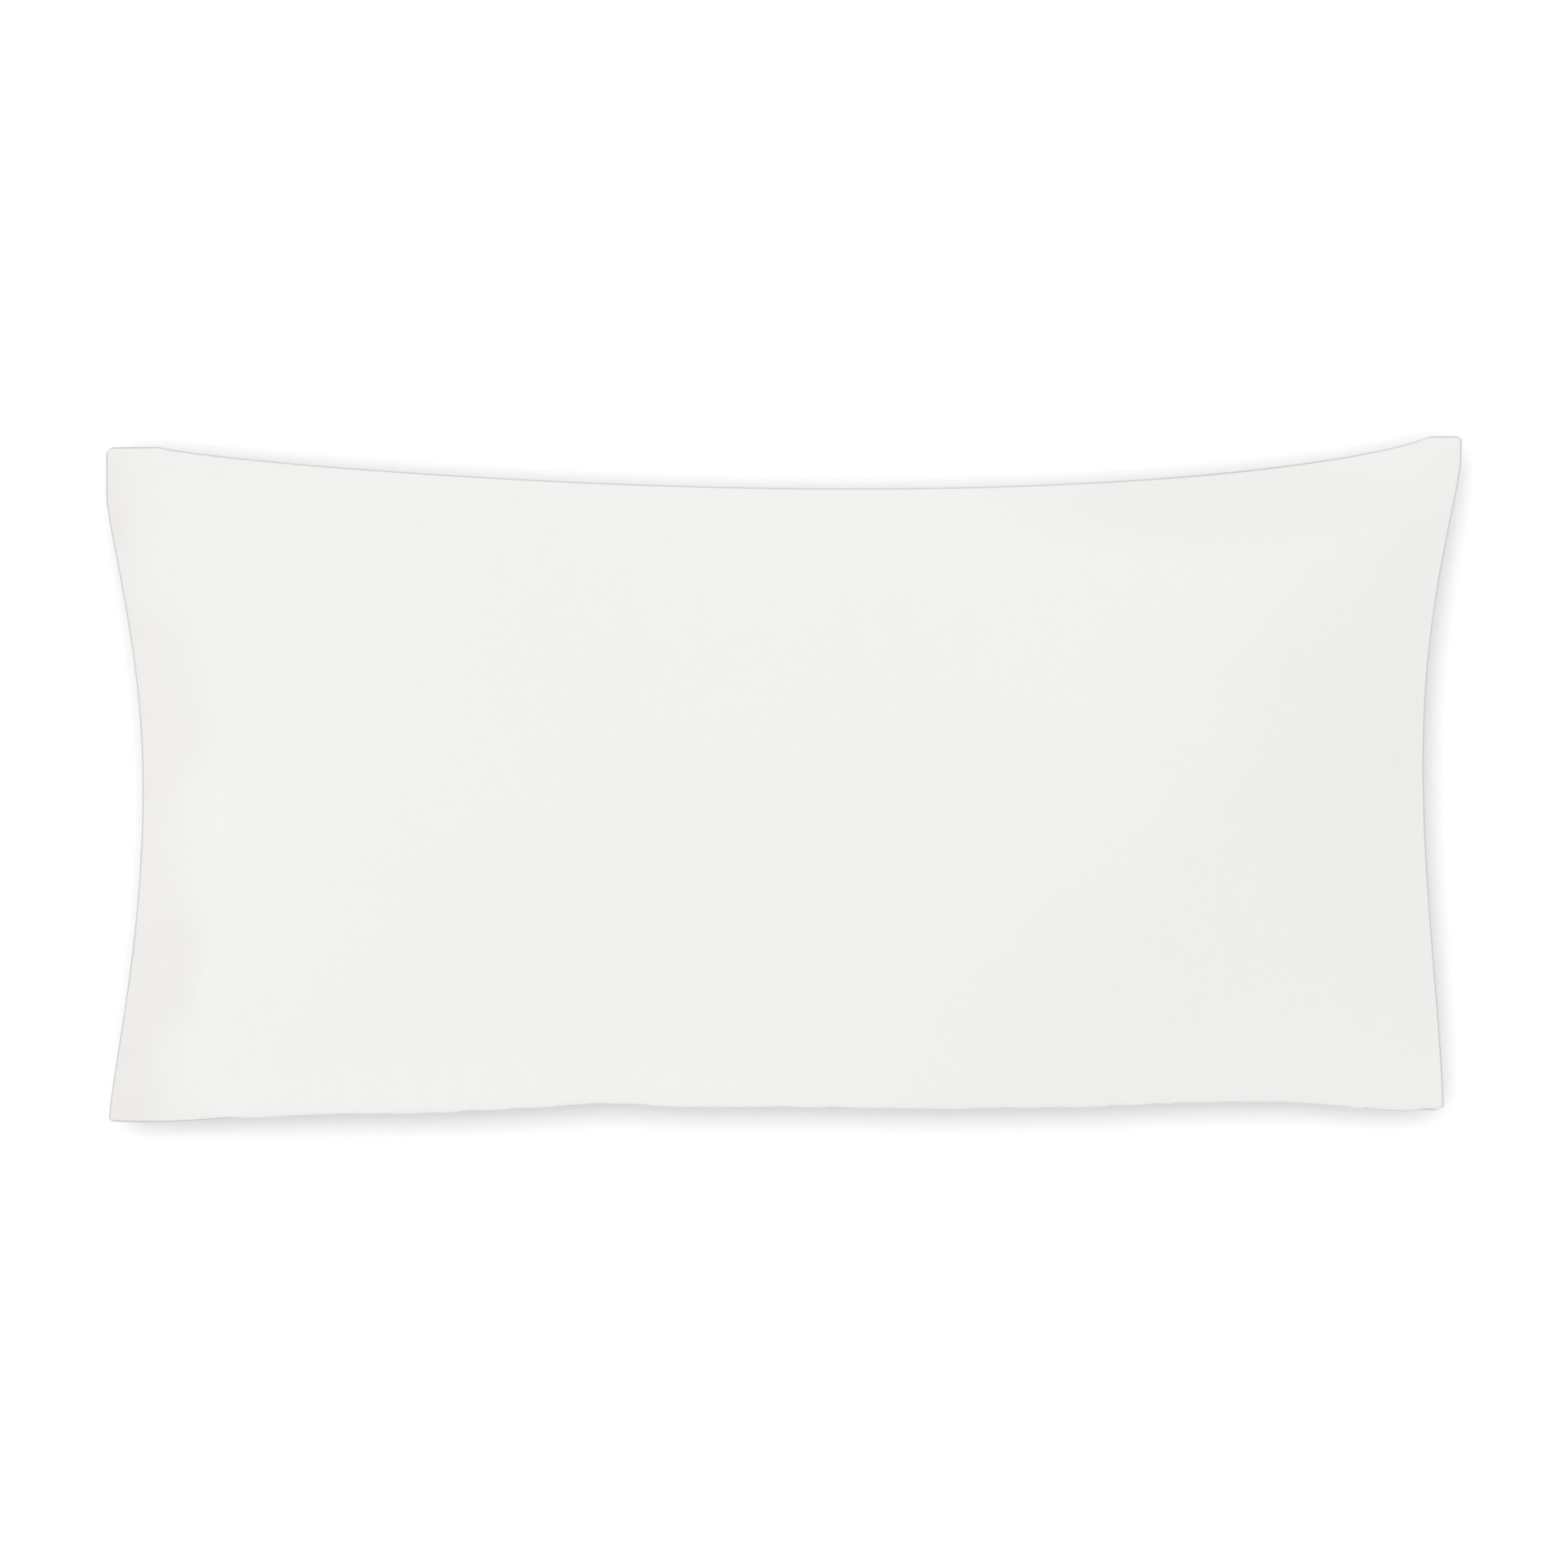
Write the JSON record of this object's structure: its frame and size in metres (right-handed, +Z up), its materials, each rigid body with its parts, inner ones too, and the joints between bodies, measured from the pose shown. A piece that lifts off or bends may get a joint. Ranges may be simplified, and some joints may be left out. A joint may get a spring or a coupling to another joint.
{
  "type": "bed pillow",
  "caption": "Oblong zipped bed pillow: a two-panel cover with a knife-edge seam around a sewn insert full of fibre, lying flat.",
  "frame": {"origin": "on the floor, under the middle of the pillow's outline", "axes": "+X along the length, to the right in plan; +Y across the width, away from the zip; +Z up, through the thickness"},
  "size_m": [0.791, 0.399, 0.128],
  "materials": {
    "cover_cloth": "fine plain weave, off-white, matt",
    "ticking_cloth": "light non-sheen cotton, white, matt",
    "fibre": "lofty crimped polyester fibre, white",
    "sewing_thread": "spun polyester thread, off-white",
    "zip_tape": "woven herringbone tape, off-white",
    "label_tape": "smooth woven label tape, white and blank",
    "zip_coil": "nylon monofilament, off-white",
    "zip_enamel": "off-white enamel on zinc, satin"
  },
  "bodies": {
    "pillow": {"cover_upper_panel": "cover_cloth", "cover_lower_panel": "cover_cloth", "cover_seam_thread": "sewing_thread", "cover_care_label": "label_tape", "zip_tape_upper": "zip_tape", "zip_tape_lower": "zip_tape", "zip_tape_stitching_upper": "sewing_thread", "zip_tape_stitching_lower": "sewing_thread", "zip_coil_upper": "zip_coil", "zip_coil_lower": "zip_coil", "zip_end_stop_upper": "zip_enamel", "zip_end_stop_lower": "zip_enamel", "zip_start_stop": "zip_enamel", "ticking_upper_panel": "ticking_cloth", "ticking_lower_panel": "ticking_cloth", "insert_seam_thread": "sewing_thread", "insert_closing_thread": "sewing_thread", "insert_care_label": "label_tape", "fibre_fill": "fibre"},
    "slider": {"zip_slider": "zip_enamel"},
    "pull": {"zip_pull": "zip_enamel"}
  },
  "joints": [
    {"name": "zip_run", "type": "slide", "parent": "pillow", "child": "slider", "axis": [-1, 0, 0], "range_m": [0, 0.323]},
    {"name": "pull_swing", "type": "hinge", "parent": "slider", "child": "pull", "pos_m": [0.157, -0.1898, 0.056], "axis": [0, 0, 1], "range_deg": [0, 180]}
  ]
}
